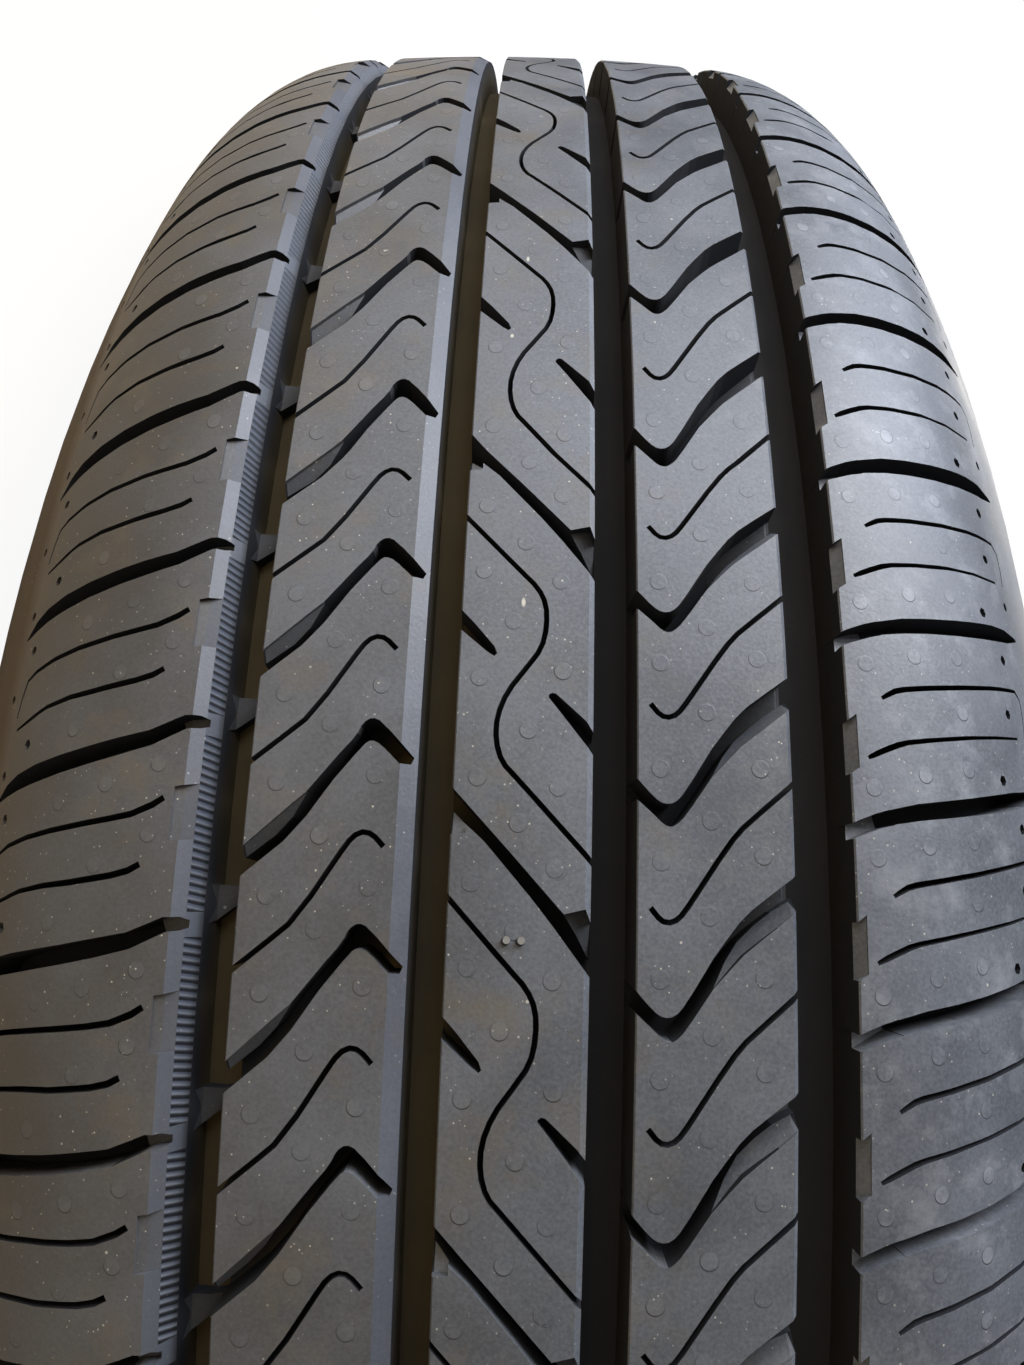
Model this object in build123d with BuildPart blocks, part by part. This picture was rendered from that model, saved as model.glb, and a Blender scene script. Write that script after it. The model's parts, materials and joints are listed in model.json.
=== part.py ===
"""A passenger car tyre for a 15 inch rim, moulded in one piece, lying on its side.

Millimetres, +Z up. The wheel axis is Z and the protector land of the lower sidewall lies on Z = 0.
Across the tread, places are counted from the middle of the section, minus below and plus above.
The tread pattern looks the same turned end for end, so one side's cutters serve both sides.
"""
import os
from math import asin, cos, degrees, pi, radians, sin, sqrt

from build123d import *

# Outside of the section
outer_diameter = 595.5
section_width = 201.0
crown_radius = 594.0
shoulder_start = 45.2
shoulder_radius = 46.6
shoulder_end_angle = 50.0
shoulder_flats = 3
sidewall_bulge = 2.5
land_drop_share = 0.52
land_width = 8.0

# Beads, which grip the rim
bead_seat_diameter = 380.0
bead_seat_width = 12.0
rim_width = 152.4
heel_chamfer = 6.0
flange_height = 17.5
bead_height = 24.0
bead_thickness = 12.0

# Inside of the section
under_tread = 6.5
shoulder_thickness = 11.0
sidewall_thickness = 7.0
liner_flat = 40.0

# Grooves round the tyre, from the lower shoulder to the upper one
tread_depth = 8.3
groove_centres = (-39.6, -10.75, 13.3, 40.85)
groove_widths = (9.4, 4.9, 5.8, 8.7)
edge_chamfers = (1.8, 1.9, 0.0, 0.0)

# Pitches of the pattern, in pairs of short or long ones so that the tread runs without a whine
short_pitch = 26.8
long_pitch = 31.4
pair_order = "SSSLLLSSLSLLSSLLSLSSLLLSSLSLSSLL"

# Hooked grooves of the ribs on each side of the middle, as they are on a short pitch
hook_phases = {-1: 0.43, 1: 0.02}
hook_apex_inset = 5.4
hook_short_rise = 4.6
hook_edge_rise = 17.0
hook_height = 2.8
hook_depth = 7.0

# Shoulder grooves, which run out on the rounding
slot_phases = {-1: 0.40, 1: -0.03}
slot_reach = 34.0
slot_rise = 9.4
slot_mouth = 2.4
slot_tip = 1.4
slot_depth = 6.0

# Slanting groove of the middle rib, once in each pair of pitches
slant_fall = 18.6
slant_height = 2.8

# Room for a cutter to pass through a wall or above the tread
overrun = 1.2

tread_radius = outer_diameter / 2
half_width = section_width / 2
seat_radius = bead_seat_diameter / 2
face_reach = rim_width / 2
crown_angle = asin(shoulder_start / crown_radius)
round_centre = shoulder_start - shoulder_radius * sin(crown_angle)
round_base = tread_radius - crown_radius + (crown_radius - shoulder_radius) * cos(crown_angle)
section_plane = Plane((0, 0, half_width), x_dir=(1, 0, 0), z_dir=(0, -1, 0))


def surface(across):
    """Radius of the tread's surface at a place across it: the crown, then the shoulder's rounding."""
    reach = abs(across)
    if reach <= shoulder_start:
        return tread_radius - crown_radius + sqrt(crown_radius**2 - reach**2)
    return round_base + sqrt(shoulder_radius**2 - (reach - round_centre) ** 2)


def groove_edge(index, side):
    """The lower or upper edge of a groove that runs round the tyre."""
    return groove_centres[index] + side * groove_widths[index] / 2


def groove_outline(index):
    """A groove's corners, with the light chamfer that some have on their lower edge."""
    low = groove_edge(index, -1)
    high = groove_edge(index, 1)
    chamfer = edge_chamfers[index]
    floor = surface(groove_centres[index]) - tread_depth
    corners = [(surface(low), low)]
    if chamfer > 0:
        corners.append((surface(low) - chamfer, low + chamfer))
    return corners + [(floor, low + chamfer), (floor, high), (surface(high), high)]


def side_outline(side):
    """One side of the section, from the shoulder over the sidewall and the bead to the liner."""
    outline = []
    for flat in range(1, shoulder_flats + 1):
        angle = crown_angle + (radians(shoulder_end_angle) - crown_angle) * flat / shoulder_flats
        across = round_centre + shoulder_radius * sin(angle)
        outline.append((surface(across), across))
    shoulder = Vector(*outline[-1])
    land = Vector(tread_radius - (tread_radius - seat_radius) * land_drop_share, half_width)
    chord = land - shoulder
    bulge = (shoulder + land) / 2 + Vector(chord.Y, -chord.X).normalized() * sidewall_bulge
    seat_end = face_reach - heel_chamfer - bead_seat_width
    liner = tread_radius - tread_depth - under_tread
    inward = Vector(cos(radians(shoulder_end_angle)), sin(radians(shoulder_end_angle)))
    shoulder_liner = shoulder - inward * shoulder_thickness
    outline += [
        (bulge.X, bulge.Y),
        (land.X, land.Y),
        (land.X - land_width, half_width),
        (seat_radius + flange_height, face_reach),
        (seat_radius + heel_chamfer, face_reach),
        (seat_radius, face_reach - heel_chamfer),
        (seat_radius, seat_end),
        (seat_radius + bead_height, face_reach - bead_thickness),
        (land.X - land_width, half_width - sidewall_thickness),
        (shoulder_liner.X, shoulder_liner.Y),
        (liner, liner_flat),
    ]
    return [(radius, side * across) for radius, across in outline]


def tread_plane(side):
    """A plane over the crown whose X runs outwards to one side and whose Y runs round the tyre."""
    return Plane((tread_radius + overrun, 0, half_width), x_dir=(0, 0, side), z_dir=(1, 0, 0))


def band(points, height):
    """An outline of the given height round a line of points."""
    above = [(x, y + height / 2) for x, y in points]
    below = [(x, y - height / 2) for x, y in points]
    return above + below[::-1]


def turn_by(distance):
    """Turns a cutter round the wheel axis by a distance along the tread."""
    return Location((0, 0, 0), (0, 0, -degrees(distance / tread_radius)))


def hook_cutter(side, stretch):
    """A hooked groove across the rib between an inner groove and a side groove."""
    inner = abs(groove_edge(1, -1) if side < 0 else groove_edge(2, 1))
    outer = abs(groove_edge(0, 1) if side < 0 else groove_edge(3, -1))
    points = [
        (inner - overrun, hook_short_rise * stretch),
        (inner + hook_apex_inset, 0),
        (outer + overrun, hook_edge_rise * stretch),
    ]
    with BuildPart() as cutter:
        with BuildSketch(tread_plane(side)):
            Polygon(*band(points, hook_height), align=None)
        extrude(amount=-hook_depth - overrun)
    return cutter.part


def slot_cutter(side, stretch):
    """A shoulder groove on a flat floor that comes out of the rounding at its far end."""
    inner = abs(groove_edge(0, -1) if side < 0 else groove_edge(3, 1)) - overrun
    outer = inner + slot_reach
    start = Vector(surface(inner) - slot_depth, 0, half_width + side * inner)
    finish = Vector(surface(outer), 0, half_width + side * outer)
    run = (finish - start).normalized()
    floor = Plane(start, x_dir=run, z_dir=(abs(run.Z), 0, -side * run.X))
    rise = slot_rise * stretch
    corners = [
        (0, slot_mouth / 2),
        (slot_reach, rise + slot_tip / 2),
        (slot_reach, rise - slot_tip / 2),
        (0, -slot_mouth / 2),
    ]
    with BuildPart() as cutter:
        with BuildSketch(floor):
            Polygon(*corners, align=None)
        extrude(amount=slot_depth + tread_radius - surface(outer))
    return cutter.part


def slant_cutter(stretch):
    """The slanting groove right across the middle rib."""
    low = groove_edge(1, 1) - overrun
    high = groove_edge(2, -1) + overrun
    with BuildPart() as cutter:
        with BuildSketch(tread_plane(1)):
            Polygon(*band([(low, 0), (high, -slant_fall * stretch)], slant_height), align=None)
        extrude(amount=-hook_depth - overrun)
    return cutter.part


# Where each pair of pitches starts along the tread, so that the pairs close round the tyre
pitches = {"S": short_pitch, "L": long_pitch}
fit = 2 * pi * tread_radius / sum(2 * pitches[kind] for kind in pair_order)
pair_starts = {"S": [], "L": []}
place = 0.0
for kind in pair_order:
    pair_starts[kind].append(place)
    place += 2 * pitches[kind] * fit

# All cuts of the pattern
cutters = []
for kind, starts in pair_starts.items():
    pitch = pitches[kind] * fit
    stretch = pitch / short_pitch
    per_pitch = [(hook_cutter(side, stretch), hook_phases[side]) for side in (-1, 1)]
    per_pitch += [(slot_cutter(side, stretch), slot_phases[side]) for side in (-1, 1)]
    slant = slant_cutter(stretch)
    for start in starts:
        cutters.append(slant.moved(turn_by(start)))
        for cutter, phase in per_pitch:
            for step in (0, 1):
                cutters.append(cutter.moved(turn_by(start + (step + phase) * pitch)))

# Tyre
with BuildPart() as tyre:
    with BuildSketch(section_plane):
        outline = []
        for index in range(len(groove_centres)):
            outline += groove_outline(index)
        outline += side_outline(1) + side_outline(-1)[::-1]
        Polygon(*outline, align=None)
    revolve(axis=Axis.Z)
    add(cutters, mode=Mode.SUBTRACT, clean=False)
tyre.part.label = "tyre"

os.makedirs("parts", exist_ok=True)
export_step(tyre.part, "parts/tyre.step")
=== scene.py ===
import json
import math

import bpy
import numpy as np
from mathutils import Matrix, Vector
from mathutils.geometry import delaunay_2d_cdt

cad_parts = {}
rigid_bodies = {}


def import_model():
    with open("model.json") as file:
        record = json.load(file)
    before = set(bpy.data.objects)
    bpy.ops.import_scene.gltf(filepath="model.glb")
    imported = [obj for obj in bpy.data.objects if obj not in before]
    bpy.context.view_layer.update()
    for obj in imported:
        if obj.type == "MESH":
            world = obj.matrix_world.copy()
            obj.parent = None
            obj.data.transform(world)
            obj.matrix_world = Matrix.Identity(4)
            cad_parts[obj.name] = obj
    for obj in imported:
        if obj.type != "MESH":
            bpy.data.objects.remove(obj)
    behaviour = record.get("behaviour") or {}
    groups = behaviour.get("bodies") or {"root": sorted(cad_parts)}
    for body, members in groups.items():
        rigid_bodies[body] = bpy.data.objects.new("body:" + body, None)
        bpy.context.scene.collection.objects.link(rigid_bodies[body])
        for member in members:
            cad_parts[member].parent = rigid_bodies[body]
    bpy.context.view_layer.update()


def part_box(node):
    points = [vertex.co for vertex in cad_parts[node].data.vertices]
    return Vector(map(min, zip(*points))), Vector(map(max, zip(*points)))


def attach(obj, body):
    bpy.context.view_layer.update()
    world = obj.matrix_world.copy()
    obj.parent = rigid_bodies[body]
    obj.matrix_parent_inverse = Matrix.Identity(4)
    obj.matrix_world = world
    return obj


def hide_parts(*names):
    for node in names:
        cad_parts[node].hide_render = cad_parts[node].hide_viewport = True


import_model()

low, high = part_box("tyre")
mm = 0.001
clearance = 0.05  # mm that the mesh stays inside the CAD box
halfWidth = (high[2] - low[2]) / 2 / mm  # middle of the section above the floor
outerRadius = min(high[0] - low[0], high[1] - low[1]) / 2 / mm - clearance

# Section of the tyre in millimetres
section = {
    "crownRadius": 594.0,
    "shoulderStart": 45.2,  # where the rounding starts, across from the middle
    "shoulderRadius": 46.6,
    "shoulderEnd": math.radians(50.0),  # slope at which the rounding meets the sidewall
    "surfaceEnd": 150.0,  # length over the surface, past the land
    "landRadius": 241.7,
    "landWidth": 8.0,
    "landRounding": 0.8,  # how far below the land its rounding starts
    "sideLines": 6,  # lines over the sidewall
    "beadRadius": 190.0,
    "rimReach": 76.2,
    "underTread": 14.8,  # from the crown to the liner
}

# Tread plan, unrolled: across in mm over the surface from the middle, along in mm on a short pitch
tread = {
    "planRadius": 300.0,  # radius for which the plan is drawn
    "planPitch": 27.0,
    "shortPitch": 26.8,
    "longPitch": 31.4,
    "pairOrder": "SSSLLLSSLSLLSSLLSLSSLLLSSLSLSSLL",
    "edge": 91.0,  # the plan ends on the sidewall
    "shoulderLines": (52.0, 58.5, 65.0, 71.5, 78.0, 84.5),  # lines that let the plan bend over the shoulder
    "pitchLines": 2,  # lines across the plan in each pitch
    "hookDepth": 7.2,
    "slotDepth": 5.5,
    "sipeDepth": 4.5,
    "sipeWidth": 0.75,
    "markRadius": 1.32,
    "shoulderMarkRadius": 1.25,
    "markRegion": 1.2,  # radii of a mark that its region takes in
    "markLimit": 0.5,  # a deeper place carries no mark
    "ventRadius": 0.85,
    "ventDepth": 0.8,
    "barredWall": (-42.75, -41.2),
    "lowerRibAt": 11.7,  # place along at which each row of cuts starts
    "upperRibAt": -1.5,
    "lowerShoulderAt": 10.8,
    "upperShoulderAt": -2.2,
}
planScale = outerRadius / tread["planRadius"]
pitch = tread["planPitch"]
pairLength = 2 * pitch
mapUnit = 100.0  # mm across in one unit of the tread map
noMark = 9.0  # far away, in radii of a mark
touch = 0.001  # mm, places this near are the same
margin = 0.01  # mm, for the plan's border and a sipe's depth
mergeReach = 0.0001  # mm, the triangulation joins nearer points
roundOff = 1e-6
noLength = 1e-12
turn = np.linspace(0, 2 * np.pi, 6, endpoint=False)
hexagon = np.c_[np.cos(turn), np.sin(turn)]

# Depth of the grooves that go round, at places across: floors, sloping walls, chamfers, small edge roundings
grooveSection = np.array([
    (-91, 0), (-44.4, 0), (-42.75, 1.2), (-41.2, 3.4), (-40.5, 8.4), (-35.95, 8.4), (-35.7, 0.25),
    (-35.5, 0), (-15.4, 0), (-13.1, 1.05), (-12.8, 8.4), (-8.6, 8.4), (-8.25, 0.25), (-8.05, 0), (9.6, 0),
    (10.4, 0.6), (10.75, 8.4), (16.0, 8.4), (16.3, 0.25), (16.5, 0), (36.75, 0), (37.3, 0.5), (37.6, 8.4),
    (45.0, 8.4), (45.3, 0.25), (45.5, 0), (91, 0),
])


def plane(points, values):
    # the plane through one value for each corner, or a level one
    if np.ndim(values) == 0:
        return np.array([0.0, 0.0, values])
    return np.linalg.lstsq(np.c_[points, np.ones(len(points))], np.array(values, float), rcond=None)[0]


def addCut(cuts, points, depth, lit=None, repeat=pitch, fills=False):
    # a region of the plan: its depth, a painted shade of its own where light or dust reaches its floor, and
    # its repeat along the tread. one that fills makes a groove shallower instead
    points = np.array(points, float)
    slope = plane(points, depth)
    lit = None if lit is None else plane(points, lit)
    after = np.roll(points, -1, axis=0)
    clockwise = (points[:, 0] * after[:, 1] - points[:, 1] * after[:, 0]).sum() < 0
    if clockwise:
        points = points[::-1]  # the triangulation needs them against the clock
    cuts.append(dict(points=points, slope=slope, lit=lit, repeat=repeat, centre=None, fills=fills))


def addSipe(cuts, line, widths=tread["sipeWidth"], repeat=pitch, rounds=0):
    addCut(cuts, thickLine(line, widths, rounds), tread["sipeDepth"], None, repeat)


def addMarks(cuts, places, radius, repeat):
    # round marks of the mould's vents, too low for a step of their own: a six-sided region round each one
    # carries the place from its middle, by which the material draws it
    region = tread["markRegion"] * radius * hexagon
    for place in np.array(places):
        cuts.append(dict(points=region + place, repeat=repeat, centre=place, radius=radius))


def roundedLine(points, rounds):
    # corner cutting: each corner gives way to two points at a quarter and three quarters of its edges
    points = np.array(points, float)
    for _ in range(rounds):
        cut = np.stack([0.75 * points[:-1] + 0.25 * points[1:], 0.25 * points[:-1] + 0.75 * points[1:]], 1)
        points = np.r_[points[:1], cut.reshape(-1, 2)[1:-1], points[-1:]]
    return points


def thickLine(points, widths, rounds=0):
    # a line widened to both sides along its normals
    line = roundedLine(points, rounds)
    widths = np.atleast_1d(widths)
    run = np.gradient(line, axis=0)
    normal = np.c_[-run[:, 1], run[:, 0]] / np.linalg.norm(run, axis=1)[:, None]
    share = np.linspace(0, 1, len(line))
    wide = np.interp(share, np.linspace(0, 1, len(widths)), widths) / 2
    return np.r_[line + normal * wide[:, None], (line - normal * wide[:, None])[::-1]]


def roundedBends(points, bends):
    # an outline whose corners are cut once between the first and the last point of each bend
    points = np.array(points, float)
    for first, last in sorted(bends, reverse=True):
        points = np.r_[points[:first], roundedLine(points[first:last + 1], 1), points[last + 1:]]
    return points


def shifted(points, along):
    return np.array(points, float) + [0.0, along]


def evenly(points, base, rate, start, alongRate=0.0, alongStart=0.0):
    # a value that changes evenly over the plan: a base, and a rate for each mm from a place across and along
    x, y = np.array(points, float).T
    return base + rate * (x - start) + alongRate * (y - alongStart)


def addLowerRib(cuts):
    # hook, the flank over its long leg, and the sipe between two hooks
    at = tread["lowerRibAt"]
    hook = [(-36.8, -19.9), (-35.6, -18.9), (-31.9, -15.8), (-29.7, -13.3), (-27.7, -10.1), (-23.6, -4.8),
            (-21.6, -2.4), (-20.8, -0.6), (-19.6, 0.25), (-18.2, -0.3), (-13.6, -5.1), (-14.0, -6.0),
            (-15.5, -6.0), (-18.2, -3.4), (-19.5, -2.9), (-20.4, -3.5), (-24.1, -8.3), (-27.4, -13.3),
            (-30.2, -16.7), (-35.6, -21.4), (-36.8, -22.4)]
    hook = roundedBends(hook, [(5, 10), (12, 16)])
    hookShade = evenly(hook, 7.2, 0.32, -19.5, -0.27, -1.5)  # dust, painted lighter as light on the floor, lies in the short end
    addCut(cuts, shifted(hook, at), tread["hookDepth"], hookShade)
    flank = [(-36.8, -19.9), (-35.6, -18.9), (-31.9, -15.8), (-29.7, -13.3), (-27.7, -10.1), (-29.7, -11.9),
             (-33.2, -15.2), (-36.8, -18.6)]
    addCut(cuts, shifted(flank, at), (2.2, 2.1, 1.9, 1.6, 1.2, 0.4, 0.4, 0.4), 2.3)
    sipe = [(-36.8, -7.2), (-35.6, -6.2), (-31, -2.3), (-28.7, -0.3), (-26, 3.4), (-22.5, 9.1),
            (-21.5, 10.6), (-20.7, 11.4), (-19.8, 11.8), (-18.9, 11.7), (-18.1, 11.2), (-16.9, 10.0)]
    addSipe(cuts, shifted(sipe, at))


def addUpperRib(cuts):
    # the lower rib turned round, with a floor that rises to the side groove and the flank under its long leg
    at = tread["upperRibAt"]
    hook = [(15.6, 6.9), (16.2, 6.4), (18.6, 3.8), (19.9, 3.0), (21.3, 3.2), (22.6, 4.6), (26.3, 10.6),
            (28, 12.9), (28.3, 10.0), (26.3, 6.8), (22.7, 1.5), (21.6, 0.4), (20.8, 0), (19.8, 0.3),
            (18.6, 1.5), (16.2, 3.6), (15.6, 4.2)]
    hook = roundedBends(hook, [(1, 6), (9, 15)])
    addCut(cuts, shifted(hook, at), tread["hookDepth"])
    rising = [(28, 12.9), (29.7, 15.1), (31.3, 16.7), (33.6, 18.5), (36.9, 21.0), (37.8, 21.7), (37.8, 18.7),
              (36.9, 18.0), (34.7, 16.5), (32.4, 14.6), (30.2, 12.5), (28.3, 10.0)]
    risingDepth = evenly(rising, tread["hookDepth"], -0.3, 28)
    addCut(cuts, shifted(rising, at), risingDepth, evenly(rising, 3.6, -0.07, 28))
    flank = [(26.3, 6.8), (28.3, 10.0), (30.2, 12.5), (32.4, 14.6), (34.7, 16.5), (36.9, 18.0), (37.8, 18.7),
             (37.8, 17.2), (34.7, 14.6), (32.4, 12.8), (30.2, 11.0), (28.3, 9.0)]
    flankDepth = (1.6, 3, 3, 3, 3, 3, 3, 0.25, 0.25, 0.25, 0.25, 0.25)
    addCut(cuts, shifted(flank, at), flankDepth, 1.2)
    sipe = [(18.1, -10.4), (19.1, -11.6), (19.8, -12.1), (20.6, -12.2), (21.4, -11.9), (22.1, -11.3),
            (23, -10.1), (27, -4.1), (29, -1.3), (30.4, 0.3), (33, 2.6), (36.9, 6.0), (37.8, 6.8)]
    addSipe(cuts, shifted(sipe, at))


def addLowerShoulder(cuts):
    # groove with a shallow end, two sipes, the notch that widens the chamfer, and the low bar that ties the
    # side groove's walls at each shoulder groove
    at = tread["lowerShoulderAt"]
    groove = [(-46.2, -0.55), (-47, -0.9), (-50, -2.3), (-55, -3.5), (-60, -4.6), (-65, -5.6), (-70, -6.6),
              (-75, -7.7), (-78.3, -8.8), (-81.8, -10.4)]
    grooveWidths = (1.95, 2.0, 2.2, 2.5, 2.6, 2.7, 2.8, 2.6, 2.0, 0.4)
    addCut(cuts, thickLine(shifted(groove, at), grooveWidths), tread["slotDepth"])
    end = [(-46.6, -0.7), (-45.2, -0.05), (-43.4, 0.1), (-42.4, 0.1)]
    endShade = [1.7 - 0.5 * min(0, x + 44.6) for x, _ in end + end[::-1]]
    addCut(cuts, thickLine(shifted(end, at), (2.0, 1.95, 1.8, 1.0)), 2.8, endShade)
    longSipe = [(-47, -10.5), (-48.5, -11.5), (-51.5, -12.8), (-55, -13.5), (-65, -15.1), (-70, -16.0),
                (-75, -17.2), (-77.5, -18.3), (-78.6, -21.1), (-79.3, -24.1)]
    addSipe(cuts, shifted(longSipe, at), (0.85, 0.95, 0.9, 0.85, 0.8, 0.75, 0.6, 0.45, 0.3))
    shortSipe = [(-49.4, -19.4), (-51, -20.3), (-53.5, -21.0), (-60, -22.1), (-65, -22.7), (-70, -23.6),
                 (-78.5, -26.2)]
    addSipe(cuts, shifted(shortSipe, at), (0.85, 0.95, 0.9, 0.85, 0.75, 0.45))
    notch = [(-45.7, -9.0), (-42.75, -8.4), (-42.75, -15.9), (-45.7, -16.2)]
    addCut(cuts, shifted(notch, at), (0.45, 1.2, 1.2, 0.45), 0.0)
    tieBar = [(-41.0, 10.8), (-37.8, 13.4), (-35.9, 14.4), (-35.9, 16.4), (-37.8, 16.0), (-41.0, 16.1)]
    addCut(cuts, tieBar, evenly(tieBar, 6.3, 0.12, -41), evenly(tieBar, 3.0, 0.1, -41), fills=True)


def addUpperShoulder(cuts):
    # the lower shoulder turned round, with a notch like a broad chamfer
    at = tread["upperShoulderAt"]
    groove = [(50.6, 3.2), (52, 3.5), (55, 4.15), (60, 4.9), (65, 5.7), (70, 6.6), (75, 7.6), (80, 8.6),
              (86, 10.0)]
    grooveWidths = (2.0, 2.1, 2.3, 2.4, 2.5, 2.6, 2.6, 2.2, 0.4)
    addCut(cuts, thickLine(shifted(groove, at), grooveWidths), tread["slotDepth"])
    end = [(50.9, 3.25), (49, 2.7), (46.5, 1.75), (44.8, 0.95), (43.9, 0.4)]
    endDepth = evenly(end + end[::-1], 2.2, 0.35, 43.9)
    endShade = [0.9 + 0.3 * max(0, x - 46) for x, _ in end + end[::-1]]
    addCut(cuts, thickLine(shifted(end, at), (2.15, 2.1, 2.0, 1.8, 1.6)), endDepth, endShade)
    longSipe = [(47.9, 11.2), (49, 11.75), (50.5, 12.45), (52.5, 13.3), (54, 13.75), (57, 14.3), (65, 15.7),
                (79, 18.0)]
    addSipe(cuts, shifted(longSipe, at), (0.55, 0.8, 0.85, 0.85, 0.75, 0.7, 0.6, 0.4))
    hookedSipe = [(50.5, -7.2), (51.5, -6.6), (52.6, -6.0), (54, -5.6), (56, -5.25), (65, -3.7), (75, -1.8),
                  (80.5, -0.8), (82.6, -1.8), (83.1, -4.6), (82.8, -8.0)]
    addSipe(cuts, shifted(hookedSipe, at), (0.55, 0.85, 0.85, 0.75, 0.6, 0.35, 0.3))
    notch = [(46.6, 17.3), (46.6, 9.8), (45.0, 8.7), (45.0, 16.1)]
    addCut(cuts, shifted(notch, at), (0.3, 0.3, 2.1, 2.1), 1.6)


def addMiddleRib(cuts):
    # once in two pitches: slanting groove with its two flanks, two blind cuts and the waved sipe
    slant = [(-9.3, 3.8), (-8.1, 2.6), (0, -5.8), (6.9, -13.1), (8.7, -15.8), (10.5, -19.0), (11.4, -20.4),
             (11.4, -22.2), (10.5, -21.0), (5.6, -14.8), (2.5, -11.1), (-3.75, -4.2), (-6.25, -2.05),
             (-8.1, -0.2), (-9.3, 1.0)]
    addCut(cuts, slant, tread["hookDepth"], evenly(slant, 7.2, -0.18, -2), pairLength)
    flankRight = [(6.9, -13.1), (9.7, -12.4), (10.5, -14.3), (10.5, -19.0), (8.7, -15.8)]
    addCut(cuts, flankRight, (0.8, 1.6, 2.4, 3.4, 2.8), 3.3, pairLength)
    flankLeft = [(-8.6, 0.3), (-8.1, -0.2), (-6.25, -2.05), (-6.25, -3.2), (-8.6, -3.4)]
    addCut(cuts, flankLeft, (2.7, 2.6, 1.8, 0.6, 1.4), 1.4, pairLength)
    blindLeft = [(-9.4, 29.2), (-8.1, 27.7), (-6.25, 25.8), (-3.4, 22.5), (-3.0, 21.5), (-3.4, 21.1),
                 (-4.4, 21.7), (-8.1, 24.8), (-9.4, 25.8)]
    addCut(cuts, blindLeft, tread["slotDepth"], evenly(blindLeft, 7.3, -0.15, -4), pairLength)
    blindRight = [(4.25, 15.8), (4.7, 16.1), (5.2, 16.0), (6.25, 15.1), (9.4, 12.3), (10.5, 10.8),
                  (11.4, 9.9), (11.4, 6.8), (10.5, 7.7), (8.75, 9.8), (6.25, 12.95), (4.25, 15.4)]
    addCut(cuts, blindRight, tread["slotDepth"], None, pairLength)
    wave = [(-9.4, 43.8), (-8.2, 42.5), (0, 33.9), (2.4, 31.5), (3.6, 29.0), (3.75, 25.7), (3.1, 22.4),
            (1.0, 19.4), (-1.4, 16.1), (-2.7, 12.6), (-2.75, 9.2), (-1.8, 6.3), (0, 4.5), (10.5, -6.5),
            (11.4, -7.4)]
    addSipe(cuts, wave, repeat=pairLength, rounds=1)


def addVents(cuts):
    # marks of the mould's vents on the shoulders and ribs, and small holes where the shoulders round off
    shoulderMarks = [(-48.7, -4.6), (-48.3, 4.9), (-56, 2.1), (-56.3, -8.9), (-63.2, 10.2), (-64, -0.4),
                     (48.5, 4.9), (48.5, -4.5), (56.5, 7.2), (56.3, -2.6), (64.3, -1.5), (64.3, -9.9),
                     (64.5, 8.7)]
    addMarks(cuts, shoulderMarks, tread["shoulderMarkRadius"], pitch)
    ribMarks = [(-31.9, 15.0), (-31.8, 2.8), (-25.2, 10.9), (-25.5, -4.1), (-18.6, 4.1), (-18.6, 16.5),
                (19.5, -6.0), (33, -4.8), (25.8, -12.8), (19.4, 6.2), (32.9, 6.7), (26.1, -0.5)]
    addMarks(cuts, ribMarks, tread["markRadius"], pitch)
    middleMarks = [(-5.3, 44.5), (0.5, 38.6), (5.9, 46.4), (5.6, 32.6), (-5.3, 33.9), (-0.9, 26.3),
                   (-5.3, 17.95), (6.1, 19.2), (1.6, 10.8), (-5, 4.2), (5.8, 3.2), (0.6, -1.7), (5.6, -7.4)]
    addMarks(cuts, middleMarks, tread["markRadius"], pairLength)
    holes = [(-80.8, 4.5), (-77.5, -2.4), (-82.9, -9.6), (-73.8, 8.8), (82.3, 12.7), (77.2, 1.4),
             (76.4, 19.2), (72.5, 8.2)]
    for place in np.array(holes):
        addCut(cuts, tread["ventRadius"] * hexagon + place, tread["ventDepth"], 1.0)


def triangulatePlan():
    # constrained triangulation of one pair of pitches: groove edges, bend lines and the outlines of all cuts,
    # which count along from the slanting groove's end at the middle rib's lower edge
    cuts = []
    for addPart in (addLowerRib, addUpperRib, addLowerShoulder, addUpperShoulder, addMiddleRib, addVents):
        addPart(cuts)
    points = []
    lines = []
    areas = []
    owners = []

    def addPoints(rows):
        first = len(points)
        points.extend(Vector((float(x), float(y))) for x, y in rows)
        return list(range(first, len(points)))

    edge = tread["edge"]
    areas.append(addPoints([(-edge, 0), (edge, 0), (edge, pairLength), (-edge, pairLength)]))
    owners.append(None)
    bends = np.array(tread["shoulderLines"])
    for x in np.r_[grooveSection[1:-1, 0], bends, -bends]:
        lines.append(addPoints([(x, 0), (x, pairLength)]))
    for y in np.linspace(0, pairLength, 2 * tread["pitchLines"], endpoint=False)[1:]:
        lines.append(addPoints([(-edge, y), (edge, y)]))
    for index, cut in enumerate(cuts):
        for repeat in range(-2, 4):  # those that may reach into the pair
            moved = shifted(cut["points"], repeat * cut["repeat"])
            if moved[:, 1].max() < -margin or moved[:, 1].min() > pairLength + margin:
                continue
            areas.append(addPoints(moved))
            owners.append((index, repeat * cut["repeat"]))
    planPoints, _, triangles, _, _, covers = delaunay_2d_cdt(points, lines, areas, 1, mergeReach)
    kept = [i for i, cover in enumerate(covers) if 0 in cover]
    triangles = np.array([triangles[i] for i in kept])
    covers = [[owners[c] for c in covers[i] if c > 0] for i in kept]
    return cuts, np.array(planPoints), triangles, covers


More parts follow.
